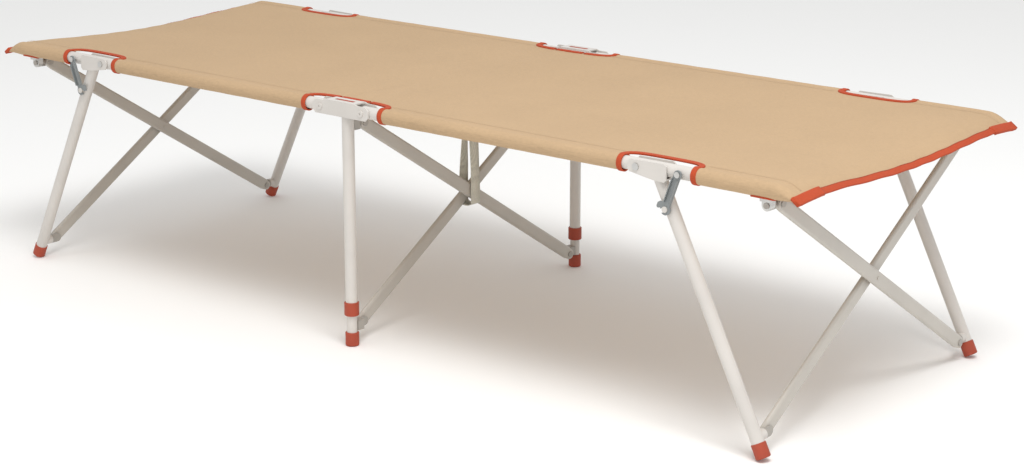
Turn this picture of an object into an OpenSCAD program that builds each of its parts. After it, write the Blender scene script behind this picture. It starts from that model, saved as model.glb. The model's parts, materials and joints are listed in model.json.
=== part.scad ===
// Folding camp cot. X runs along the bed, Y across it, Z up; the floor is z = 0.
// Every part is drawn for the front right corner (+X, -Y) and mirrored to the others.

/* [Bed] */
// Length of the canvas from hem to hem
canvas_l = 1900; // [1880:10:1940]
// Distance from the centre line to each side rail
rail_y = 330; // [326:1:340]
// Height of the side rails' axis above the floor
rail_z = 436.5; // [435:0.5:438]
// Outer radius of the side rails
rail_r = 11; // [10.8:0.1:11]
// Wall of every round tube
tube_wall = 1.2; // [1:0.1:1.5]
// Thickness of the canvas panels
canvas_t = 1.5; // [1.2:0.1:2]

/* [Brackets] */
// Distance of the middle rail rivets from the centre
fold_x = 50; // [49:0.5:51]
// Half length of the middle brackets
mid_half = 68; // [66:1:72]
// Distance of the end legs' pivots from the centre
pivot_x = 650; // [648:1:652]
// Distance of the hook pivots from the centre
hook_x = 733; // [732:1:734]
// Thickness of the bracket plates
plate_t = 2.5; // [2:0.1:2.5]

/* [Legs] */
// Lean of the end legs from the vertical, in degrees
leg_tilt = 26.6; // [26.4:0.1:26.8]
// Distance from the end legs' pivot to their axis
leg_offset = 27.5; // [27:0.1:28]
// Outer radius of the legs
leg_r = 11; // [10.6:0.1:11]
// Outer radius of the sliding inner legs
inner_r = 9.5; // [9:0.1:9.5]
// Distance of each middle leg from the centre plane, opposite ways at front and back
mid_leg_x = 5.5; // [5:0.5:6]
// Height of the braces' lower pivots
low_z = 36; // [36:0.5:37]
// Height of the braces' upper pivots
high_z = 407; // [406:0.5:407.5]

/* [Braces] */
// Distance of the braces' pivots from the centre line
brace_y = 293; // [291:0.5:293.5]
// Width of a brace
brace_w = 25; // [22:1:25]
// Thickness of a brace
brace_t = 10; // [9:0.5:10]
// Offset of each brace from the plane of its crossing
brace_x = 7; // [7:0.1:7.4]

/* [Hidden] */
$fn = 48;

tube_colour = "gainsboro";
brace_colour = "darkgray";
steel_colour = "dimgray";
rubber_colour = "firebrick";
canvas_colour = "tan";
web_colour = "darkkhaki";

tight = 0.05;        // gap round a pin that is fixed in its part
run = 0.35;          // gap round a pin that turns
pin_r = 3;
head_r = 6;
head_t = 2;

half_l = canvas_l / 2;
rail_start = fold_x - 4.5;
rail_end = half_l - 48;         // the sleeves go on past it and close
sleeve_r = rail_r + 1.3;
sleeve_bore = rail_r + 0.15;
deck_z = rail_z + rail_r + 0.4;
deck_back = rail_y - 5.5;
cut_y = rail_y - 26;           // edge of the panels at a cutout
mid_cut = 90;                  // half length of the middle cutout
end_cut = [615, 753];          // ends of an end cutout
seam = 0.15;                   // half gap between two panels
seam_x = fold_x - 14;          // the panels' seams, over the folded rails' inner faces

plate_in = 11.8;               // inner face of a bracket plate, from the rail's axis
plate_out = plate_in + plate_t;
hook_in = 14.7;
hook_t = 2.5;
hook_out = hook_in + hook_t;

// the end leg, in its own frame: origin at its pivot, z up along the leg, x outboard
boss_face = rail_y - 20;                                   // |y| of the open pivots' leg side
axis_z = rail_z + leg_offset * sin(leg_tilt);
axis_x = pivot_x + leg_offset * cos(leg_tilt);
boss_at = (axis_z - low_z) / cos(leg_tilt);                // along the leg
lug_x = axis_x + boss_at * sin(leg_tilt);                  // the end frames' plane
foot_r = 12.5;
foot_round = 1.5;
foot_l = 25;
foot_floor = 3;
leg_end = (axis_z - (foot_r - foot_round) * sin(leg_tilt)) / cos(leg_tilt);
floor_z = rail_z - 16;           // underside of the bracket's floor, on the leg's end
stud_at = 80;
stud_x = axis_x + stud_at * sin(leg_tilt);
stud_z = axis_z - stud_at * cos(leg_tilt);
hook_l = norm([hook_x - stud_x, rail_z - stud_z]);
hook_lean = atan2(hook_x - stud_x, rail_z - stud_z);
boss_r = 9;

// the middle legs
outer_low = 60;
collar_r = 13.5;
collar_l = 25;
inner_top = 420;
lug_face = rail_y - 23.6;      // |y| of the lugs' base plates
lug_t = 3;
lug_r = 9;
tongue = 1.6;                  // half thickness of a lug's tongue
brace_end_r = 10.3;

brace_run = 2 * brace_y;
brace_drop = high_z - low_z;
brace_l = norm([brace_run, brace_drop]);
brace_lean = atan2(brace_drop, brace_run);
cross_z = (high_z + low_z) / 2;

module corner(right, front) {
    if (right && front) children();
    if (!right && front) mirror([1, 0, 0]) children();
    if (right && !front) mirror([0, 1, 0]) children();
    if (!right && !front) mirror([1, 0, 0]) mirror([0, 1, 0]) children();
}

module x_bar(x0, x1, y, z, r) {
    translate([x0, y, z]) rotate([0, 90, 0]) cylinder(h = x1 - x0, r = r);
}

// a bar across the rail at x, z, between two distances outward from the rail's axis
module cross_bar(x, z, from, to, r) {
    translate([x, -rail_y - to, z]) rotate([-90, 0, 0]) cylinder(h = to - from, r = r);
}

// an outline in x and z, made into a plate between two distances outward
module side_plate(from, to) {
    translate([0, -rail_y - from, 0]) rotate([90, 0, 0]) linear_extrude(to - from) children();
}

// the end leg's own frame
module leg_frame() {
    translate([pivot_x, -rail_y, rail_z]) rotate([0, -leg_tilt, 0]) children();
}

module tube(r, low, high) {
    translate([0, 0, low]) cylinder(h = high - low, r = r);
}

module rail() {
    color(tube_colour) difference() {
        x_bar(rail_start, rail_end, -rail_y, rail_z, rail_r);
        x_bar(rail_start - 1, rail_end + 1, -rail_y, rail_z, rail_r - tube_wall);
        cross_bar(fold_x, rail_z, -20, 20, pin_r + run);
        cross_bar(pivot_x, rail_z, -20, 20, pin_r + tight);
        cross_bar(hook_x, rail_z, -20, 20, pin_r + tight);
    }
}

module leg_rivet() {
    cross_bar(pivot_x, rail_z, -plate_out - 0.4, plate_out + 0.4, pin_r);
    for (side = [-1, 1])
        cross_bar(pivot_x, rail_z, min(side * (plate_out + 0.3), side * (plate_out + head_t)),
            max(side * (plate_out + 0.3), side * (plate_out + head_t)), head_r);
}

module hook_rivet() {
    cross_bar(hook_x, rail_z, -rail_r - 2, hook_out + 0.4, pin_r);
    cross_bar(hook_x, rail_z, -rail_r - 2.1, -rail_r - 0.1, 5);
    cross_bar(hook_x, rail_z, rail_r + 0.1, hook_in - 0.3, 5);
    cross_bar(hook_x, rail_z, hook_out + 0.3, hook_out + 0.3 + head_t, 5);
}

// the clip under a rail's end that carries a top lug
module hanger() {
    inner = rail_y - boss_face;
    difference() {
        union() {
            cross_bar(lug_x, high_z, -inner, -9, lug_r);
            translate([lug_x - lug_r, -rail_y + 9, high_z])
                cube([2 * lug_r, inner - 9, rail_z - 5 - high_z]);
            translate([lug_x - lug_r, -rail_y + 3, high_z + 7])
                cube([2 * lug_r, inner - 3, rail_z - 7 - high_z - 7]);
        }
        x_bar(lug_x - 20, lug_x + 20, -rail_y, rail_z, rail_r + tight);
        cross_bar(lug_x, high_z, -inner - 1, 0, pin_r + run);
    }
}

module end_plug() {
    x_bar(rail_end - 20, rail_end, -rail_y, rail_z, rail_r - tube_wall - tight);
    x_bar(rail_end, rail_end + 3, -rail_y, rail_z, rail_r);
}

module rail_fittings() {
    color(steel_colour) {
        leg_rivet();
        hook_rivet();
        hanger();
        end_plug();
    }
}

module sleeve() {
    difference() {
        x_bar(mid_cut, half_l, -rail_y, rail_z, sleeve_r);
        x_bar(mid_cut - 1, half_l + 1, -rail_y, rail_z, sleeve_bore);
        translate([end_cut[0], -rail_y - 20, rail_z - 20])
            cube([end_cut[1] - end_cut[0], 40, 40]);
        translate([lug_x - 14, -rail_y + 2, rail_z - 20]) cube([28, 20, 17]);
    }
}

module sleeve_back() {
    color(canvas_colour) sleeve();
}

// the right half of the bed: the panel and the front sleeve that it is sewn into
module canvas_side() {
    color(canvas_colour) {
        translate([0, 0, deck_z]) linear_extrude(canvas_t) difference() {
            translate([seam_x + seam, -rail_y]) square([half_l - seam_x - seam, rail_y + deck_back]);
            for (cut = [[0, mid_cut], end_cut])
                for (side = [-1, 1])
                    translate([cut[0], side > 0 ? cut_y : -rail_y - 1])
                        square([cut[1] - cut[0], rail_y - cut_y + 1]);
        }
        sleeve();
    }
}

module canvas_mid() {
    half = seam_x - seam;
    color(canvas_colour) translate([-half, -cut_y, deck_z]) cube([2 * half, 2 * cut_y, canvas_t]);
}

module end_leg() {
    color(tube_colour) difference() {
        leg_frame() union() {
            translate([leg_offset, 0, 0]) tube(leg_r, -leg_end + foot_floor, 0);
            translate([leg_offset, 5, -boss_at]) rotate([-90, 0, 0])
                cylinder(h = rail_y - boss_face - 5, r = boss_r);
            translate([leg_offset, -hook_out - 0.4, -stud_at]) rotate([-90, 0, 0])
                cylinder(h = hook_out - 6, r = pin_r);
            translate([leg_offset, -hook_out - 0.3 - head_t, -stud_at]) rotate([-90, 0, 0])
                cylinder(h = head_t, r = 5);
        }
        leg_frame() translate([leg_offset, 0, 0]) tube(leg_r - tube_wall, -leg_end, 10);
        translate([pivot_x - 40, -rail_y - 20, floor_z - 0.05]) cube([140, 40, 60]);
    }
}

// the channel on the leg's head: two plates beside the rail and a floor under it
module leg_bracket() {
    outline = [
        [-13, -9.5], [-17, -4], [-17, 5], [-12, 11], [54, 12], [59, 8], [59, -14], [55, -18], [34, -17]
    ];
    color(tube_colour) {
        for (from = [-plate_out, plate_in])
            difference() {
                translate([pivot_x, 0, rail_z]) side_plate(from, from + plate_t) polygon(outline);
                cross_bar(pivot_x, rail_z, -20, 20, pin_r + run);
            }
        translate([pivot_x + 23, -rail_y - plate_in - 0.5, floor_z])
            cube([33, 2 * plate_in + 1, plate_t]);
    }
}

// a cap over a tube's lower end, with its outside edge eased
module cap(bore, floor_t) {
    rotate_extrude() polygon([
        [0, 0], [foot_r - foot_round, 0], [foot_r, foot_round], [foot_r, foot_l - 1],
        [foot_r - 1, foot_l], [bore, foot_l], [bore, floor_t], [0, floor_t]
    ]);
}

module end_foot() {
    color(rubber_colour) leg_frame() translate([leg_offset, 0, -leg_end])
        cap(leg_r + tight, foot_floor);
}

// the lock: a channel that hangs from the rail and holds the leg's stud in an open notch
module hook() {
    channel = 6.5;
    notch = pin_r + 0.5;
    notch_lean = 44;
    color(steel_colour) translate([hook_x, 0, rail_z]) rotate([0, hook_lean, 0]) {
        side_plate(hook_in, hook_out) difference() {
            union() {
                circle(r = 7);
                circle_at_stud(9.5);
                translate([-channel, -hook_l]) square([2 * channel, hook_l]);
                translate([0, -hook_l]) polygon([
                    [-4, 10], [-14, 8], [-17, 4], [-17, -2], [-15, -4.5], [-12, -3.5], [-4, 2]
                ]);
            }
            circle(r = pin_r + run);
            circle_at_stud(notch);
            translate([0, -hook_l]) rotate(180 + notch_lean) translate([0, 0.1 - notch])
                square([30, 2 * notch - 0.2]);
        }
        for (x = [0.3 - channel, channel - 1.8])
            translate([x, -rail_y - hook_out - 4, -52]) cube([1.5, 4.5, 44]);
    }
}

module circle_at_stud(r) {
    translate([0, -hook_l]) circle(r = r);
}

// a tongue in the plane x = 0 and its pin through the brace at the side given
module lug_tongue(z, side) {
    translate([-tongue, -lug_face - 0.1, z - lug_r])
        cube([2 * tongue, lug_face - brace_y + 0.1, 2 * lug_r]);
    x_bar(-tongue, tongue, -brace_y, z, lug_r);
    far = brace_x + brace_t / 2 + 0.3;
    if (side > 0) {
        x_bar(0, far + 0.2, -brace_y, z, pin_r);
        x_bar(far, far + 1.6, -brace_y, z, head_r);
    } else {
        x_bar(-far - 0.2, 0, -brace_y, z, pin_r);
        x_bar(-far - 1.6, -far, -brace_y, z, head_r);
    }
}

module lug_plate(z) {
    translate([0, -lug_face - lug_t, z]) rotate([-90, 0, 0]) cylinder(h = lug_t, r = lug_r);
}

module top_lug(side) {
    color(steel_colour) translate([lug_x, 0, 0]) {
        lug_plate(high_z);
        lug_tongue(high_z, side);
        translate([0, -rail_y + 7.6, high_z]) rotate([-90, 0, 0]) cylinder(h = 13.2, r = pin_r);
        translate([0, -rail_y + 7.2, high_z]) rotate([-90, 0, 0]) cylinder(h = 1.5, r = 5);
    }
}

module foot_lug(side) {
    color(steel_colour) translate([lug_x, 0, 0]) {
        lug_plate(low_z);
        lug_tongue(low_z, side);
    }
}

// a lug on a middle leg: a saddle on the tube instead of a turning plate
module mid_lug(z, side, tube_r, leg_x) {
    color(steel_colour) {
        difference() {
            translate([leg_x - 8, -rail_y + 8, z - lug_r]) cube([16, rail_y - 8 - lug_face, 2 * lug_r]);
            translate([leg_x, -rail_y, 0]) tube(tube_r + tight, z - 20, z + 20);
        }
        lug_tongue(z, side);
    }
}

// the inverted channel that joins two rails, with its two rivets
module mid_bracket(leg_x) {
    low = rail_z - 12.5;
    web_half = fold_x - rail_r - 3;     // the rails turn up past the web's ends
    web_z = rail_z + rail_r + 1.3;
    color(tube_colour) {
        for (from = [-plate_out, plate_in])
            side_plate(from, from + plate_t) polygon([
                [-mid_half, low + 7], [-mid_half, rail_z + 6], [-mid_half + 7, web_z],
                [-web_half - 6, web_z], [-web_half, web_z + plate_t],
                [web_half, web_z + plate_t], [web_half + 6, web_z],
                [mid_half - 7, web_z], [mid_half, rail_z + 6],
                [mid_half, low + 7], [mid_half - 7, low], [-mid_half + 7, low]
            ]);
        translate([-web_half, -rail_y - plate_in - 0.5, web_z])
            cube([2 * web_half, 2 * plate_in + 1, plate_t]);
        for (x = [-fold_x, fold_x]) {
            cross_bar(x, rail_z, -plate_out, plate_out, pin_r);
            cross_bar(x, rail_z, -plate_out - head_t, -plate_out, head_r);
            difference() {
                cross_bar(x, rail_z, plate_out, plate_out + head_t, head_r);
                cross_bar(x, rail_z, plate_out + head_t - 1.2, plate_out + head_t + 1, 2);
            }
        }
        difference() {
            cross_bar(leg_x, rail_z - 3, -plate_in - 0.5, plate_in + 0.5, 6);
            translate([leg_x, -rail_y, 0]) tube(leg_r + tight, 0, rail_z + 60);
        }
    }
}

module mid_leg(leg_x) {
    color(tube_colour) translate([leg_x, -rail_y, 0]) difference() {
        tube(leg_r, outer_low, rail_z + rail_r + 1.2);
        tube(leg_r - tube_wall, outer_low - 1, rail_z + 60);
    }
}

module collar(leg_x) {
    top = outer_low - 3 + collar_l;
    bore = leg_r - tube_wall;
    color(rubber_colour) translate([leg_x, -rail_y, 0]) rotate_extrude() polygon([
        [bore, outer_low - 3], [collar_r - 1, outer_low - 3], [collar_r, outer_low - 2],
        [collar_r, top - 1], [collar_r - 1, top], [leg_r + tight, top],
        [leg_r + tight, outer_low], [bore, outer_low]
    ]);
}

module inner_leg(leg_x) {
    color(tube_colour) translate([leg_x, -rail_y, 0]) difference() {
        tube(inner_r, foot_floor, inner_top);
        tube(inner_r - tube_wall, foot_floor - 1, inner_top + 1);
    }
}

module mid_foot(leg_x) {
    color(rubber_colour) translate([leg_x, -rail_y, 0]) cap(inner_r + tight, foot_floor);
}

module stadium(t, w, length) {
    rotate([-90, 0, 0]) translate([0, 0, -length / 2]) linear_extrude(length) union() {
        square([t, w - t], center = true);
        for (side = [-1, 1]) translate([0, side * (w - t) / 2]) circle(r = t / 2);
    }
}

// a flat-oval tube from front top to back bottom, with eased ends and drain holes
module brace(side, bore) {
    ease = 14;
    half = brace_l / 2;
    end_x = brace_t / 2 + 1;
    translate([side * brace_x, 0, cross_z]) rotate([-brace_lean, 0, 0]) difference() {
        intersection() {
            stadium(brace_t, brace_w, brace_l + 40);
            union() {
                rotate([90, 0, 90]) translate([0, 0, -end_x]) linear_extrude(2 * end_x) polygon([
                    [-half, -brace_end_r], [-half + ease, -brace_w / 2 - 1],
                    [half - ease, -brace_w / 2 - 1], [half, -brace_end_r],
                    [half, brace_end_r], [half - ease, brace_w / 2 + 1],
                    [-half + ease, brace_w / 2 + 1], [-half, brace_end_r]
                ]);
                for (y = [-half, half]) x_bar(-end_x, end_x, y, 0, brace_end_r);
            }
        }
        stadium(brace_t - 2 * tube_wall, brace_w - 2 * tube_wall, brace_l - 50);
        for (y = [-half, half]) x_bar(-end_x, end_x, y, 0, pin_r + run);
        x_bar(-end_x, end_x, 0, 0, bore);
        for (y = [-half + 40, half - 40]) translate([0, y, -brace_w]) cylinder(h = brace_w, r = 1.5);
    }
}

// the back-top to front-bottom brace of a crossing
module brace_b(side) {
    color(brace_colour) mirror([0, 1, 0]) brace(side, pin_r + run);
}

module brace_mid_a() {
    color(brace_colour) brace(1, pin_r + tight);
}

// an end crossing's pin is fixed in its first brace
module brace_end_a(side) {
    face = brace_x - brace_t / 2;
    far = brace_x + brace_t / 2;
    color(brace_colour) corner(side > 0, true) {
        brace(1, pin_r - 0.5);
        x_bar(-far - 0.5, far + 1.5, 0, cross_z, pin_r);
        x_bar(0.3 - face, face, 0, cross_z, 8);
        x_bar(-far - 1.8, -far - 0.3, 0, cross_z, head_r);
    }
}

module cross_pin_mid() {
    face = brace_x - brace_t / 2;
    far = brace_x + brace_t / 2;
    color(steel_colour) {
        x_bar(-far - 0.5, far + 0.5, 0, cross_z, pin_r);
        x_bar(0.3 - face, face - 0.1, 0, cross_z, 8);
        for (x = [-far - 1.8, far + 0.3]) x_bar(x, x + 1.5, 0, cross_z, head_r);
    }
}

// the loop of webbing from the panel's underside round the middle crossing
module strap() {
    low = cross_z - 25.5;
    high = deck_z - 0.3;
    outer = 15.5;
    web = 1.5;
    color(web_colour) translate([0, 12.5, 0]) rotate([90, 0, 0]) linear_extrude(25) difference() {
        translate([-outer, low]) square([2 * outer, high - low]);
        translate([web - outer, low + web]) square([2 * (outer - web), high - low]);
    }
}

for (front = [true, false]) {
    row = front ? "front" : "back";
    leg_x = front ? mid_leg_x : -mid_leg_x;
    for (right = [true, false]) {
        a_side = right ? 1 : -1;        // brace a is on the right of brace b at both ends
        place = str(row, "_", right ? "right" : "left");
        corner(right, front) rail();
        corner(right, front) rail_fittings();
        corner(right, front) end_leg();
        corner(right, front) leg_bracket();
        corner(right, front) end_foot();
        corner(right, front) hook();
        corner(right, front) top_lug(front ? a_side : -a_side);
        corner(right, front) foot_lug(front ? -a_side : a_side);
    }
    corner(true, front) mid_bracket(leg_x);
    corner(true, front) mid_leg(leg_x);
    corner(true, front) collar(leg_x);
    corner(true, front) inner_leg(leg_x);
    corner(true, front) mid_foot(leg_x);
    corner(true, front) mid_lug(high_z, front ? 1 : -1, leg_r, leg_x);
    corner(true, front) mid_lug(low_z, front ? -1 : 1, inner_r, leg_x);
}
for (right = [true, false]) {
    side = right ? "right" : "left";
    a_side = right ? 1 : -1;
    corner(right, true) canvas_side();
    corner(right, false) sleeve_back();
    corner(right, true) translate([lug_x, 0, 0]) brace_end_a(a_side);
    corner(right, true) translate([lug_x, 0, 0]) brace_b(-a_side);
}
canvas_mid();
brace_mid_a();
brace_b(-1);  // brace_mid_b
cross_pin_mid();
strap();
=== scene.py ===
"""A folding camp cot: canvas, binding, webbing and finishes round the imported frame.

X runs along the bed, Y across it and Z up, in metres. "Front" is -Y and "right" is +X.
"""
import json
import math

import bpy
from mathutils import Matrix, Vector, noise


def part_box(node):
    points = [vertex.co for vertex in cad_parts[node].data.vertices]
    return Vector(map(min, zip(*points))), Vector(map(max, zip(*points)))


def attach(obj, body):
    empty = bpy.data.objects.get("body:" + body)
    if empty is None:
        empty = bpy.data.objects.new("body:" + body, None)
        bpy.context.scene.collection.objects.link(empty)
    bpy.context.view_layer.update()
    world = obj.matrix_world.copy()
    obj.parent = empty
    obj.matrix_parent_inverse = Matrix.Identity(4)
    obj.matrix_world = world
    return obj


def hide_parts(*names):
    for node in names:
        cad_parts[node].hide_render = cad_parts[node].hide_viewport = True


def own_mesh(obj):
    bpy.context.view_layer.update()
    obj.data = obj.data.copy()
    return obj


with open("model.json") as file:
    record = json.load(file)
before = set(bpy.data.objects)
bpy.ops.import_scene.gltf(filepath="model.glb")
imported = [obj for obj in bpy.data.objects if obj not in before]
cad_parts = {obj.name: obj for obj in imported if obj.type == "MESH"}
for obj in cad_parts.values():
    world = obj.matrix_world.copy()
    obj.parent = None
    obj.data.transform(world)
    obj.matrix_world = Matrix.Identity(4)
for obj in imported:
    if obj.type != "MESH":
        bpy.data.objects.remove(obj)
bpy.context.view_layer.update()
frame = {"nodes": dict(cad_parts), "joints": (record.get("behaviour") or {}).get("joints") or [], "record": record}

# places taken from the frame
JOINTS = {j["name"]: j for j in frame["joints"]}
_, RAIL_Y, RAIL_Z = JOINTS["fold"]["pos_m"]
RAIL_Y = abs(RAIL_Y)
LUG_X = abs(JOINTS["top_lug_turn_front_right"]["pos_m"][0])
HALF_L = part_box("canvas_right")[1][0]
SPLIT_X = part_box("canvas_mid")[1][0]    # where the panels meet
CROSS_Z = JOINTS["mid_crossing"]["pos_m"][2]

# cloth
SLEEVE_R = 0.0127
SLACK = 0.0016                          # what a sleeve's radius gains underneath, where it hangs loose
CLOTH_T = 0.0011
SLEEVE_T = CLOTH_T * 0.8
TOP_Z = RAIL_Z + SLEEVE_R - CLOTH_T     # underside of the panels over the rails
NOTCH_IN = 0.0235                       # depth of a cutout, in from the rail's axis
MID_NOTCH = (0.0, 0.090)                # centre and half length
END_NOTCH = (0.686, 0.070)
NOTCH_POWER = 3.6                       # how square a cutout's ends are
SAG = 0.005
HEM_SAG = 0.012                         # what the sag gains at the hems
HEM_REACH = 0.12                        # and how far in from them
PINCH_X = 0.901                         # from here to the hem a sleeve flattens
FLAT_Z = -0.0120                        # its flat end's height from the rail's axis
FLAT_IN = 0.009                         # and its middle's distance in from the axis
ROWS = 72                               # points across a panel
SLEEVE_STRETCHES = ((MID_NOTCH[1], END_NOTCH[0] - END_NOTCH[1]), (END_NOTCH[0] + END_NOTCH[1], HALF_L))
SLOT_HALF = 0.017                       # a hanger's slot: half length, and its span round the rail
SLOT_ANGLES = (-105, -12)

# binding and stitching
BAND_W, BAND_T = 0.0100, 0.0034         # a cutout's binding
OVERHANG = 0.0012                       # how far a binding reaches over its edge
HEM_W, HEM_T = 0.0125, 0.0036           # the hem's binding
HEM_X = HALF_L - 0.0004
HEM_SHORT = 0.004                       # it ends this far short of the rails' axes
HEM_LINE_IN, HEM_LINE_UP = 0.0085, 0.0030    # its stitching, in from the hem and above the panel
TAB_W, TAB_T = 0.0165, 0.0062           # the doubled tab at a corner
TAB_OUT, TAB_IN = 0.0125, 0.062         # its reach out and in from the rail's axis
TAB_PAST, TAB_DROP = 0.0012, 0.0015     # its place past the hem's binding and below the panel
NOTCH_LINE_IN, NOTCH_LINE_UP = 0.0072, 0.0024    # a cutout's stitching
NOTCH_LINE_SHORT = 0.004                # how much sooner than the cutout it ends
RING_W, RING_T = 0.0100, 0.0028         # the binding round a sleeve's end
RING_PLACES = (SLEEVE_STRETCHES[0][0] + 0.003, SLEEVE_STRETCHES[0][1] - 0.001,
               SLEEVE_STRETCHES[1][0] + 0.003)
SLOT_BAND_W, SLOT_BAND_T = 0.0075, 0.0036
SEAM_IN, SEAM_UP = 0.021, 0.0013        # a sleeve's seam, in from the rail's axis
SEAM_RUNS = ((0.095, 0.605), (0.763, 0.935))
STITCH = 0.0042                         # from one stitch to the next
STITCH_HALF_W, STITCH_LIFT, STITCH_SINK = 0.0004, 0.0004, 0.0003
UP = Vector((0, 0, 1))

# webbing loop
STRAP_W, STRAP_T = 0.025, 0.0014
LOOP_HALF = 0.0150                      # half its width round the crossing
LOOP_BEND = 0.006                       # depth of its rounded bottom
LOOP_BELOW = 0.0245                     # its bottom, below the crossing's pivot
LOOP_TOP_GAP = 0.0045                   # its top, below the sagging panel
LOOP_POINTS = 40                        # points on one straight side
SLIDER = (0.0075, 0.018, 0.003)         # width, height and corner radius
SLIDER_AT = (-0.009, 0.014)             # from the loop's middle, and below its top
SLIDER_HALF = 0.010

# stripe on a middle bracket
STRIPE_HALF = 0.022
STRIPE = (0.0065, 0.0006, 0.0002)
STRIPE_GAP = 0.0001


# ---------------------------------------------------------------- materials

class Nodes:
    """A material's node tree, with short ways to add to it."""

    def __init__(self, name):
        self.material = bpy.data.materials.new(name)
        self.material.use_nodes = True
        self.tree = self.material.node_tree
        self.shader = self.tree.nodes["Principled BSDF"]

    def add(self, kind, **settings):
        node = self.tree.nodes.new(kind)
        for key, value in settings.items():
            if key in node.inputs:
                node.inputs[key].default_value = value
            else:
                setattr(node, key, value)
        return node

    def link(self, source, target):
        self.tree.links.new(source, target)

    def noise(self, scale, detail=3.0, stretch=(1, 1, 1)):
        place = self.add("ShaderNodeTexCoord")
        mapping = self.add("ShaderNodeMapping")
        mapping.inputs["Scale"].default_value = stretch
        texture = self.add("ShaderNodeTexNoise")
        texture.inputs["Scale"].default_value = scale
        texture.inputs["Detail"].default_value = detail
        self.link(place.outputs["Object"], mapping.inputs["Vector"])
        self.link(mapping.outputs["Vector"], texture.inputs["Vector"])
        return texture.outputs["Fac"]

    def wave(self, scale, direction):
        place = self.add("ShaderNodeTexCoord")
        texture = self.add("ShaderNodeTexWave", bands_direction=direction)
        texture.inputs["Scale"].default_value = scale
        texture.inputs["Distortion"].default_value = 0.6
        texture.inputs["Detail"].default_value = 1.0
        self.link(place.outputs["Object"], texture.inputs["Vector"])
        return texture.outputs["Fac"]

    def math(self, operation, a, b):
        node = self.add("ShaderNodeMath", operation=operation)
        for socket, value in zip(node.inputs, (a, b)):
            if isinstance(value, (int, float)):
                socket.default_value = value
            else:
                self.link(value, socket)
        return node.outputs[0]

    def ramp(self, fac, *stops):
        node = self.add("ShaderNodeValToRGB")
        points = node.color_ramp.elements
        while len(points) < len(stops):
            points.new(0.5)
        for point, (position, colour) in zip(points, stops):
            point.position = position
            point.color = (*colour, 1.0)
        self.link(fac, node.inputs["Fac"])
        return node.outputs["Color"]

    def roughness(self, fac, low, high):
        node = self.add("ShaderNodeMapRange")
        node.inputs["To Min"].default_value = low
        node.inputs["To Max"].default_value = high
        self.link(fac, node.inputs["Value"])
        self.link(node.outputs["Result"], self.shader.inputs["Roughness"])

    def bump(self, height, strength, distance):
        node = self.add("ShaderNodeBump")
        node.inputs["Strength"].default_value = strength
        node.inputs["Distance"].default_value = distance
        self.link(height, node.inputs["Height"])
        self.link(node.outputs["Normal"], self.shader.inputs["Normal"])

    def colour(self, socket):
        self.link(socket, self.shader.inputs["Base Color"])

    def fixed(self, **values):
        """Sets the shader's own sockets: Coat_Weight sets Coat Weight."""
        for name, value in values.items():
            self.shader.inputs[name.replace("_", " ")].default_value = value


def shade(colour, by):
    """A colour made lighter or darker by a factor."""
    return tuple(min(1.0, c * by) for c in colour)


def woven(name, colour, pitch, contrast=0.16):
    """Plain-weave cloth: crossed threads, slubs, and soft patches of colour."""
    n = Nodes(name)
    threads = n.math("MULTIPLY", n.wave(1 / pitch, "X"), n.wave(1 / pitch, "Y"))
    slubs = n.noise(240.0, 2.0, (0.6, 1.6, 1.0))
    patches = n.noise(5.0, 4.0)
    fine = n.math("ADD", n.math("MULTIPLY", threads, 0.35), n.math("MULTIPLY", slubs, 0.35))
    mixed = n.math("ADD", fine, n.math("MULTIPLY", patches, 0.22))
    n.colour(n.ramp(mixed, (0.18, shade(colour, 1 - contrast)), (0.42, colour),
                    (0.7, shade(colour, 1 + contrast * 0.7))))
    n.roughness(slubs, 0.78, 0.95)
    n.bump(n.math("ADD", threads, slubs), 0.35, 0.0004)
    n.fixed(Sheen_Weight=0.03, Sheen_Roughness=0.5, Specular_IOR_Level=0.25)
    return n.material


def coated(name, colour, rough=(0.3, 0.45)):
    """Powder coat: an even colour with a fine orange peel and faint rubbed patches."""
    n = Nodes(name)
    peel = n.noise(900.0, 2.0)
    worn = n.noise(11.0, 5.0)
    n.colour(n.ramp(worn, (0.3, shade(colour, 0.94)), (0.55, colour), (0.8, shade(colour, 1.04))))
    n.roughness(worn, *rough)
    n.bump(peel, 0.12, 0.0003)
    n.fixed(Coat_Weight=0.12, Coat_Roughness=0.3)
    return n.material


def plated(name, colour):
    """Zinc-plated steel, brushed and a little dulled."""
    n = Nodes(name)
    brushed = n.noise(300.0, 3.0, (8.0, 1.0, 8.0))
    dull = n.noise(60.0, 4.0)
    n.colour(n.ramp(dull, (0.3, shade(colour, 0.8)), (0.7, colour)))
    n.roughness(brushed, 0.28, 0.5)
    n.bump(brushed, 0.1, 0.0002)
    n.fixed(Metallic=1.0)
    return n.material


def moulded(name, colour):
    """Matt moulded plastic with a fine spark grain and slight scuffing."""
    n = Nodes(name)
    grain = n.noise(1400.0, 2.0)
    scuffs = n.noise(45.0, 5.0, (1.0, 1.0, 0.3))
    n.colour(n.ramp(scuffs, (0.35, shade(colour, 0.86)), (0.6, colour), (0.85, shade(colour, 1.12))))
    n.roughness(scuffs, 0.5, 0.68)
    n.bump(grain, 0.2, 0.0003)
    return n.material


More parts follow.
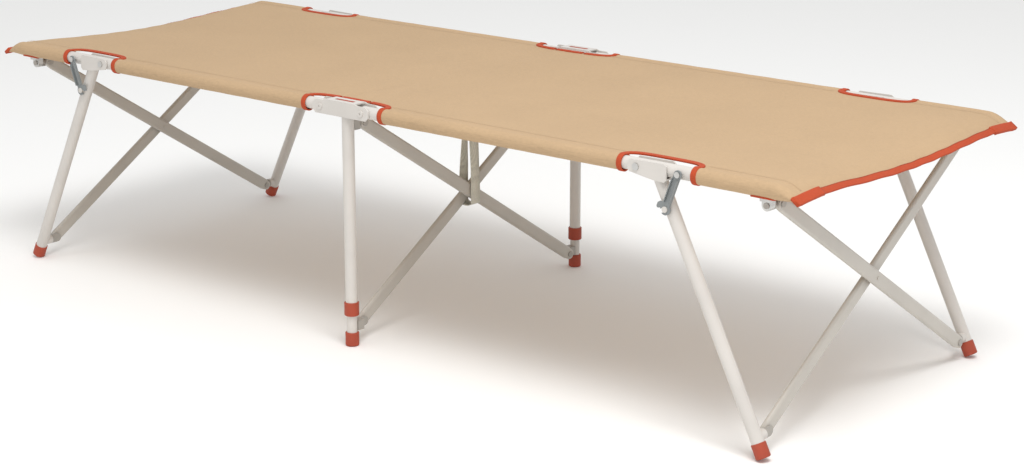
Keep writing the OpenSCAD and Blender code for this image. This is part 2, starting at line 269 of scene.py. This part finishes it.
TAN = (0.515, 0.358, 0.212)
RED = (0.48, 0.07, 0.024)
MATERIALS = {
    "canvas": woven("canvas", TAN, 0.0016),
    "binding": woven("binding", RED, 0.0012, 0.2),
    "webbing": woven("webbing", (0.66, 0.64, 0.55), 0.0022, 0.25),
    "tube": coated("tube", (0.61, 0.575, 0.535)),
    "brace": coated("brace", (0.50, 0.465, 0.415), (0.28, 0.42)),
    "lug": coated("lug", (0.37, 0.345, 0.31), (0.35, 0.5)),
    "bright_steel": plated("bright_steel", (0.68, 0.67, 0.65)),
    "dark_steel": coated("dark_steel", (0.22, 0.235, 0.235), (0.3, 0.5)),
    "rubber": moulded("rubber", (0.38, 0.056, 0.024)),
    "thread": coated("thread", (0.5, 0.36, 0.22), (0.7, 0.8)),
    "red_thread": coated("red_thread", (0.33, 0.05, 0.025), (0.7, 0.8)),
    "black": moulded("black", (0.012, 0.012, 0.013)),
}


# ---------------------------------------------------------------- mesh helpers

def piece(name, verts, faces, material, body):
    """A smooth mesh in place, riding on a body, with its finish."""
    mesh = bpy.data.meshes.new(name)
    mesh.from_pydata([tuple(v) for v in verts], [], faces)
    mesh.validate()
    mesh.update()
    mesh.polygons.foreach_set("use_smooth", [True] * len(mesh.polygons))
    obj = bpy.data.objects.new(name, mesh)
    bpy.context.scene.collection.objects.link(obj)
    obj.data.materials.append(MATERIALS[material])
    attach(obj, body)
    return obj


def applied(obj, kind, **settings):
    """Adds a modifier and applies it."""
    modifier = obj.modifiers.new(kind, kind)
    for key, value in settings.items():
        setattr(modifier, key, value)
    graph = bpy.context.evaluated_depsgraph_get()
    mesh = bpy.data.meshes.new_from_object(obj.evaluated_get(graph))
    obj.modifiers.remove(modifier)
    obj.data = mesh
    return obj


def grid_faces(rows, columns, wrap=False, hole=None):
    """Quads between rows of points. wrap joins the last column to the first; hole leaves quads out."""
    faces = []
    for i in range(rows - 1):
        for j in range(columns if wrap else columns - 1):
            if hole and hole(i, j):
                continue
            k = (j + 1) % columns
            faces.append((i * columns + j, i * columns + k, (i + 1) * columns + k,
                          (i + 1) * columns + j))
    return faces


def sweep(path, sides, ups, outline, closed=False):
    """Points and faces of an outline carried along a path, with a side and an up at each point."""
    verts = []
    for p, s, u in zip(path, sides, ups):
        verts += [p + s * a + u * b for a, b in outline]
    count, size = len(path), len(outline)
    faces = grid_faces(count, size, wrap=True)
    if closed:
        last = (count - 1) * size
        faces += [(last + j, last + (j + 1) % size, (j + 1) % size, j) for j in range(size)]
    else:
        faces.append(tuple(reversed(range(size))))
        faces.append(tuple((count - 1) * size + j for j in range(size)))
    return verts, faces


def rounded(width, height, corner, steps=3):
    """A rounded rectangle's outline, centred."""
    points = []
    for quarter in range(4):
        cx = (width / 2 - corner) * (1 if quarter in (0, 3) else -1)
        cy = (height / 2 - corner) * (1 if quarter in (0, 1) else -1)
        for i in range(steps + 1):
            a = math.radians(90 * quarter + 90 * i / steps)
            points.append((cx + corner * math.cos(a), cy + corner * math.sin(a)))
    return points


def spaced(low, high, count):
    """Values from low to high at even steps."""
    return [low + (high - low) * i / (count - 1) for i in range(count)]


def eased(low, high, count):
    """Values from low to high that crowd at both ends."""
    return [low + (high - low) * (1 - math.cos(math.pi * i / (count - 1))) / 2
            for i in range(count)]


# ---------------------------------------------------------------- the panels' surface

def notch_depth(x):
    """How far in from the rail's axis the panel's edge lies at x."""
    for centre, half in (MID_NOTCH, END_NOTCH):
        share = abs(abs(x) - centre) / half
        if share < 1:
            return NOTCH_IN * (1 - share ** NOTCH_POWER) ** (1 / NOTCH_POWER)
    return 0.0


def pinch(x):
    """How far a sleeve has flattened at x: 0 where it is round, 1 at the hem."""
    share = min(1.0, max(0.0, (abs(x) - PINCH_X) / (HALF_L - PINCH_X)))
    return 1 - math.cos(math.pi / 2 * share)


def panel_z(x, y):
    """Height of the panels' underside: a shallow sag with soft creases, turned down at the hems."""
    across = max(0.0, 1 - (abs(y) / RAIL_Y) ** 2) ** 1.7
    end = math.exp((abs(x) - HALF_L) / HEM_REACH)
    sag = (SAG + HEM_SAG * end) * across
    hold = min(1.0, 6 * across)
    # slow waves, then creases that start at the hem and beside the middle brackets
    soft = noise.noise(Vector((x * 5.0, y * 4.0, 3.7))) * 0.0016
    pull = math.sin(y * 95 + 9 * noise.noise(Vector((x * 3.0, y * 3.0, 1.3)))) * 0.0005 * end
    near_mid = math.exp(-((x / 0.16) ** 2))
    pull += math.sin(x * 120 + y * 14) * 0.0004 * near_mid * abs(y) / RAIL_Y
    turned = SLEEVE_R - FLAT_Z - 0.001
    down = pinch(x) * (0.55 + 0.45 * (abs(y) / RAIL_Y) ** 4) * turned
    return TOP_Z - sag + (soft + pull) * hold - down - 0.0006


def panel_point(x, share):
    """A point on the panels: share runs from 0 at the front edge to 1 at the back edge."""
    edge = RAIL_Y - notch_depth(x)
    y = -edge + 2 * edge * share
    return Vector((x, y, panel_z(x, y)))


def panel_columns(low, high):
    """x values for a panel: crowded round the cutouts' ends and the hem."""
    stops = [low]
    for centre, half in (MID_NOTCH, END_NOTCH):
        for stop in (centre - half, centre + half):
            if low < stop < high:
                stops.append(stop)
    stops.append(high)
    values = []
    for a, b in zip(stops, stops[1:]):
        values += eased(a, b, max(14, int((b - a) / 0.011)))[:-1]
    return values + [high]


def panel(name, low, high, body, node):
    """One canvas panel, in place of its CAD node."""
    columns = panel_columns(low, high)
    verts = [panel_point(x, s) for x in columns for s in eased(0, 1, ROWS)]
    obj = piece(name, verts, grid_faces(len(columns), ROWS), "canvas", body)
    applied(obj, "SOLIDIFY", thickness=CLOTH_T, offset=1.0)
    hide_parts(node)
    return obj


# ---------------------------------------------------------------- sleeves and binding

def round_rail(x, side, angle, radius):
    """A point at a radius from a rail's axis: 0 points inboard, 90 up."""
    a = math.radians(angle)
    return Vector((x, side * (RAIL_Y - radius * math.cos(a)), RAIL_Z + radius * math.sin(a)))


def hang(angle):
    """How much further out the loose cloth lies round the rail's lower side."""
    return SLACK * max(0.0, -math.sin(math.radians(angle))) ** 1.5


def sleeve_point(x, side, angle, radius):
    """A point on a sleeve: round along the rail, flat and closed at the hem."""
    a = math.radians(angle)
    flat = Vector((x, side * (RAIL_Y - FLAT_IN - 1.45 * radius * math.cos(a)),
                   RAIL_Z + FLAT_Z + 0.0014 * math.sin(a)))
    return round_rail(x, side, angle, radius).lerp(flat, pinch(x))


def sleeve(name, end, side, body):
    """The canvas sleeve on half a rail, in stretches between the cutouts, with its hanger slot."""
    verts, faces = [], []
    count = 44
    for low, high in SLEEVE_STRETCHES:
        xs = sorted(set(spaced(low, high, max(12, int((high - low) / 0.008)))
                        + [x for x in (LUG_X - SLOT_HALF, LUG_X + SLOT_HALF) if low < x < high]))
        start = len(verts)
        for x in xs:
            for j in range(count):
                angle = 360 * j / count
                pucker = 0.0005 * noise.noise(Vector((x * 26, angle * 0.02, side * 4.0)))
                verts.append(sleeve_point(end * x, side, angle, SLEEVE_R + pucker + hang(angle)))

        def in_slot(i, j):
            """Whether a quad lies in the hanger's slot."""
            angle = (360 * (j + 0.5) / count + 180) % 360 - 180
            middle = (xs[i] + xs[i + 1]) / 2
            return abs(middle - LUG_X) < SLOT_HALF and SLOT_ANGLES[0] < angle < SLOT_ANGLES[1]

        faces += [tuple(start + v for v in f)
                  for f in grid_faces(len(xs), count, wrap=True, hole=in_slot)]
    if (end > 0) == (side > 0):
        faces = [tuple(reversed(f)) for f in faces]
    obj = piece(name, verts, faces, "canvas", body)
    return applied(obj, "SOLIDIFY", thickness=SLEEVE_T, offset=-1.0)


def ring(name, end, side, x, body):
    """Binding round a sleeve's end."""
    steps = 40
    path, sides, ups = [], [], []
    for i in range(steps):
        a = 360 * i / steps
        centre = round_rail(end * x, side, a, SLEEVE_R + hang(a) + 0.0002)
        path.append(centre)
        ups.append((centre - round_rail(end * x, side, a, 0)).normalized())
        sides.append(Vector((1, 0, 0)))
    verts, faces = sweep(path, sides, ups, rounded(RING_W, RING_T, 0.0012), closed=True)
    return piece(name, verts, faces, "binding", body)


def slot_binding(name, end, side, body):
    """Binding round the slot that a hanger comes out of."""
    middle = sum(SLOT_ANGLES) / 2
    reach = (SLOT_ANGLES[1] - SLOT_ANGLES[0]) / 2 + 6
    path, sides, ups = [], [], []
    steps = 48
    power = 0.35                        # how square the slot's corners are

    def at(i):
        """A point on the binding's path, with its angle round the rail and its x."""
        a = 2 * math.pi * i / steps
        across, along = math.cos(a), math.sin(a)
        x = LUG_X + (SLOT_HALF + 0.002) * math.copysign(abs(across) ** power, across)
        angle = middle + reach * math.copysign(abs(along) ** power, along)
        return round_rail(end * x, side, angle, SLEEVE_R + hang(angle) + 0.0004), angle, x

    for i in range(steps):
        here, angle, x = at(i)
        tangent = (at(i + 1)[0] - at(i - 1)[0]).normalized()
        up = (here - round_rail(end * x, side, angle, 0)).normalized()
        path.append(here)
        ups.append(up)
        sides.append(tangent.cross(up).normalized())
    verts, faces = sweep(path, sides, ups, rounded(SLOT_BAND_W, SLOT_BAND_T, 0.0014), closed=True)
    return piece(name, verts, faces, "binding", body)


def edge_band(name, points, inward, width, thick, body, rise=lambda p: 0.0):
    """A folded tape over an edge, lying inward from it and tilted by the cloth's rise inward."""
    path, sides, ups = [], [], []
    for i, p in enumerate(points):
        a, b = points[max(0, i - 1)], points[min(len(points) - 1, i + 1)]
        tangent = (b - a).normalized()
        side = UP.cross(tangent).normalized()
        if side.dot(inward) < 0:
            side = -side
        side = (side + Vector((0, 0, rise(p)))).normalized()
        path.append(p + side * (width / 2 - OVERHANG) + Vector((0, 0, CLOTH_T / 2)))
        sides.append(side)
        ups.append(side.cross(tangent).normalized())
    verts, faces = sweep(path, sides, ups, rounded(width, thick, 0.0009))
    return piece(name, verts, faces, "binding", body)


def stitches(name, points, body, material="thread"):
    """A row of stitches along a line of points."""
    verts, faces = [], []
    travelled, target = 0.0, STITCH
    for a, b in zip(points, points[1:]):
        step = (b - a).length
        along = (b - a).normalized() if step > 1e-9 else Vector((1, 0, 0))
        while travelled + step >= target:
            centre = a + along * (target - travelled)
            across = along.cross(UP).normalized()
            base = len(verts)
            for k in (-1, 1):
                tip = centre + along * (k * STITCH * 0.33) - UP * STITCH_SINK
                verts += [tip + across * STITCH_HALF_W, tip - across * STITCH_HALF_W]
                verts.append(centre + along * (k * STITCH * 0.16) + UP * STITCH_LIFT)
            faces += [(base, base + 1, base + 2), (base + 3, base + 5, base + 4),
                      (base, base + 2, base + 5, base + 3), (base + 1, base + 4, base + 5, base + 2),
                      (base, base + 3, base + 4, base + 1)]
            target += STITCH
        travelled += step
    return piece(name, verts, faces, material, body)


def hem_rise(p):
    """The cloth's rise per metre inward from the hem."""
    y = min(abs(p.y), RAIL_Y)
    return (panel_z(HALF_L - HEM_W, y) - panel_z(HALF_L, y)) / HEM_W


def notch_line(centre, half, end, side, inset=0.0):
    """Points along a cutout's edge in a panel, from one end of it to the other."""
    points = []
    for x in eased(centre - half, centre + half, 48):
        y = side * (RAIL_Y - notch_depth(x) - inset)
        points.append(Vector((end * x, y, panel_z(x, y))))
    return points


def notch_band(name, points, side, body):
    """The binding on a cutout's edge."""
    return edge_band(name, points, Vector((0, -side, 0)), BAND_W, BAND_T, body)


def squashed(*objs):
    """Gives each piece its own copy of its mesh."""
    for obj in objs:
        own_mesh(obj)


def hem_trims(end, word, body):
    """The binding along a hem and its stitching."""
    inward = Vector((-end, 0, 0))
    hem = [Vector((end * HEM_X, y, panel_z(HEM_X, y)))
           for y in spaced(-RAIL_Y + HEM_SHORT, RAIL_Y - HEM_SHORT, 90)]
    line_x = HEM_X - HEM_LINE_IN
    line = [Vector((end * line_x, p.y, panel_z(line_x, p.y) + HEM_LINE_UP)) for p in hem]
    return [edge_band("hem_" + word, hem, inward, HEM_W, HEM_T, body, hem_rise),
            stitches("hem_stitch_" + word, line, body, "red_thread")]


def side_trims(end, side, place, body):
    """The binding and stitching along one side of half a bed's panel."""
    corner = [Vector((end * (HEM_X + TAB_PAST), side * y, panel_z(HEM_X, min(y, RAIL_Y)) - TAB_DROP))
              for y in spaced(RAIL_Y + TAB_OUT, RAIL_Y - TAB_IN, 18)]
    trims = [edge_band("corner_tab_" + place, corner, Vector((-end, 0, 0)), TAB_W, TAB_T, body, hem_rise)]
    centre, half = END_NOTCH
    trims.append(notch_band("end_cutout_" + place, notch_line(centre, half, end, side), side, body))
    line = [p + UP * NOTCH_LINE_UP
            for p in notch_line(centre, half - NOTCH_LINE_SHORT, end, side, NOTCH_LINE_IN)]
    trims.append(stitches("end_cutout_stitch_" + place, line, body, "red_thread"))
    part = [p for p in notch_line(*MID_NOTCH, end, side) if end * p.x >= SPLIT_X]
    trims.append(notch_band("mid_cutout_" + place, part, side, body))
    for number, run in enumerate(SEAM_RUNS):
        seam = [Vector((end * x, side * (RAIL_Y - SEAM_IN), panel_z(x, RAIL_Y - SEAM_IN) + SEAM_UP))
                for x in spaced(*run, 60)]
        trims.append(stitches(f"sleeve_stitch_{number}_{place}", seam, body))
    return trims


def bound_sleeve(end, side, place):
    """A sleeve with the binding at its stretches' ends and round its slot."""
    body = "rail_" + place
    tube = sleeve("sleeve_" + place, end, side, body)
    rings = [ring(f"sleeve_ring_{i}_{place}", end, side, x, body) for i, x in enumerate(RING_PLACES)]
    rings.append(slot_binding("slot_binding_" + place, end, side, body))
    if side > 0:
        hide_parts("sleeve_" + place)


def half_bed(end):
    """One half of the bed: the panel, its sleeves, its bound edges and its stitching."""
    word = "right" if end > 0 else "left"
    body = "rail_front_" + word
    low, high = (SPLIT_X, HALF_L) if end > 0 else (-HALF_L, -SPLIT_X)
    deck = panel("deck_" + word, low, high, body, "canvas_" + word)
    trims = hem_trims(end, word, body)
    for side in (-1, 1):
        place = ("front_" if side < 0 else "back_") + word
        trims += side_trims(end, side, place, body)
        bound_sleeve(end, side, place)
    squashed(deck, *trims)


def middle_panel():
    """The panel between the rails' hinges."""
    body = "mid_front"
    deck = panel("deck_mid", -SPLIT_X, SPLIT_X, body, "canvas_mid")
    trims = []
    for side in (-1, 1):
        part = [p for p in notch_line(*MID_NOTCH, 1, side) if abs(p.x) <= SPLIT_X]
        trims.append(notch_band("mid_cutout_" + ("front" if side < 0 else "back"), part, side, body))
    squashed(deck, *trims)


# ---------------------------------------------------------------- webbing loop

def loop_outline(low, high):
    """The loop seen from the front: x, z and the share of its height, down one side and up the other."""
    down = []
    for z in spaced(high, low + LOOP_BEND, LOOP_POINTS):
        rise = (z - low) / (high - low)
        narrowed = 0.62 * min(1.0, max(0.0, rise - 0.12) * 1.25) ** 1.4
        down.append((-LOOP_HALF * (1 - narrowed), z, rise))
    bend = [(-LOOP_HALF * math.cos(a), low + LOOP_BEND - LOOP_BEND * math.sin(a), 0.0)
            for a in (math.pi * i / 6 for i in range(1, 6))]
    return down + bend + [(-x, z, rise) for x, z, rise in reversed(down)]


def strap():
    """The webbing loop from the panel's underside round the middle crossing, and its slider."""
    body = "mid_front"
    low, high = CROSS_Z - LOOP_BELOW, TOP_Z - SAG - LOOP_TOP_GAP
    outline = loop_outline(low, high)
    points = [Vector((x, 0.0, z)) for x, z, _ in outline]
    section = rounded(2.0, STRAP_T, 0.0005)
    verts = []
    for i, (p, (_, _, rise)) in enumerate(zip(points, outline)):
        a, b = points[max(0, i - 1)], points[min(len(points) - 1, i + 1)]
        tangent = (b - a).normalized()
        twist = 0.9 * max(0.0, rise - 0.3) * (1 if i > LOOP_POINTS + 2 else -1)
        across = Vector((math.sin(twist), math.cos(twist), 0))
        up = across.cross(tangent).normalized()
        width = STRAP_W / 2 * (1 - 0.45 * max(0.0, rise - 0.12))
        verts += [p + across * (a * width) + up * b for a, b in section]
    size = len(section)
    faces = grid_faces(len(points), size, wrap=True)
    faces += [tuple(reversed(range(size))), tuple((len(points) - 1) * size + j for j in range(size))]
    loop = piece("strap_loop", verts, faces, "webbing", body)
    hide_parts("strap")

    slider_x, below_top = SLIDER_AT
    path = [Vector((slider_x, y, high - below_top)) for y in spaced(-SLIDER_HALF, SLIDER_HALF, 8)]
    verts, faces = sweep(path, [Vector((1, 0, 0))] * 8, [UP] * 8, rounded(*SLIDER, 5))
    slider = piece("strap_slider", verts, faces, "black", body)
    squashed(loop, slider)


# ---------------------------------------------------------------- small trims on the frame

def bracket_stripe(side):
    """A plain stripe on the middle bracket's top."""
    word = "front" if side < 0 else "back"
    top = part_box("mid_bracket_" + word)[1][2]
    path = [Vector((x, side * RAIL_Y, top + STRIPE_GAP)) for x in spaced(-STRIPE_HALF, STRIPE_HALF, 5)]
    verts, faces = sweep(path, [Vector((0, 1, 0))] * 5, [UP] * 5, rounded(*STRIPE))
    piece("stripe_" + word, verts, faces, "rubber", "mid_" + word)


def finish_frame():
    """Gives each CAD node its finish."""
    slots = {s["node"]: s["material_slot"] for s in frame["record"]["subparts"]}
    for name, obj in frame["nodes"].items():
        material = MATERIALS.get(slots[name])
        if not obj.material_slots:
            obj.data.materials.append(material)
        for slot in obj.material_slots:
            slot.material = material


# ---------------------------------------------------------------- camera, light and stage

CAMERA_AT = (2.64945, -3.01699, 1.24747)
CAMERA_LOOK = (-0.62144, 0.73700, -0.26579)
LENS = 76.68


def camera():
    """The camera, as the fit of the frame's main points gives it."""
    data = bpy.data.cameras.new("camera")
    obj = bpy.data.objects.new("camera", data)
    bpy.context.scene.collection.objects.link(obj)
    data.sensor_width = 36.0
    data.lens = LENS
    data.clip_end = 100.0
    obj.location = CAMERA_AT
    obj.rotation_euler = Vector(CAMERA_LOOK).to_track_quat("-Z", "Y").to_euler()
    bpy.context.scene.camera = obj


def area_light(name, place, target, size, power):
    """A white softbox at a place, facing a target."""
    data = bpy.data.lights.new(name, "AREA")
    data.shape = "RECTANGLE"
    data.size, data.size_y = size
    data.energy = power
    obj = bpy.data.objects.new(name, data)
    obj.location = place
    obj.rotation_euler = (Vector(target) - Vector(place)).to_track_quat("-Z", "Y").to_euler()
    bpy.context.scene.collection.objects.link(obj)


FLOOR_HALF = 14.0
FLOOR_GAP = 0.0005                      # keeps the floor from meeting the feet's faces


def stage():
    """White surroundings, two softboxes and a pale floor."""
    world = bpy.data.worlds.new("studio")
    bpy.context.scene.world = world
    world.use_nodes = True
    background = world.node_tree.nodes["Background"].inputs
    background["Color"].default_value = (1, 1, 1, 1)
    background["Strength"].default_value = 0.76
    area_light("key", (1.7, -1.3, 4.1), (0.2, 0, 0.3), (2.2, 1.8), 120)
    area_light("fill", (2.2, -3.4, 1.6), (0.3, 0, 0.2), (1.8, 1.8), 9)
    mesh = bpy.data.meshes.new("floor")
    corners = [(-1, -1), (1, -1), (1, 1), (-1, 1)]
    mesh.from_pydata([(FLOOR_HALF * x, FLOOR_HALF * y, 0) for x, y in corners], [], [(0, 1, 2, 3)])
    floor = bpy.data.objects.new("floor", mesh)
    floor.location.z = -FLOOR_GAP
    n = Nodes("floor")
    n.fixed(Base_Color=(0.93, 0.93, 0.92, 1), Roughness=0.9)
    mesh.materials.append(n.material)
    bpy.context.scene.collection.objects.link(floor)
    bpy.context.scene.view_settings.view_transform = "Standard"


camera()
stage()
finish_frame()
half_bed(1)
half_bed(-1)
middle_panel()
strap()
for front_or_back in (-1, 1):
    bracket_stripe(front_or_back)
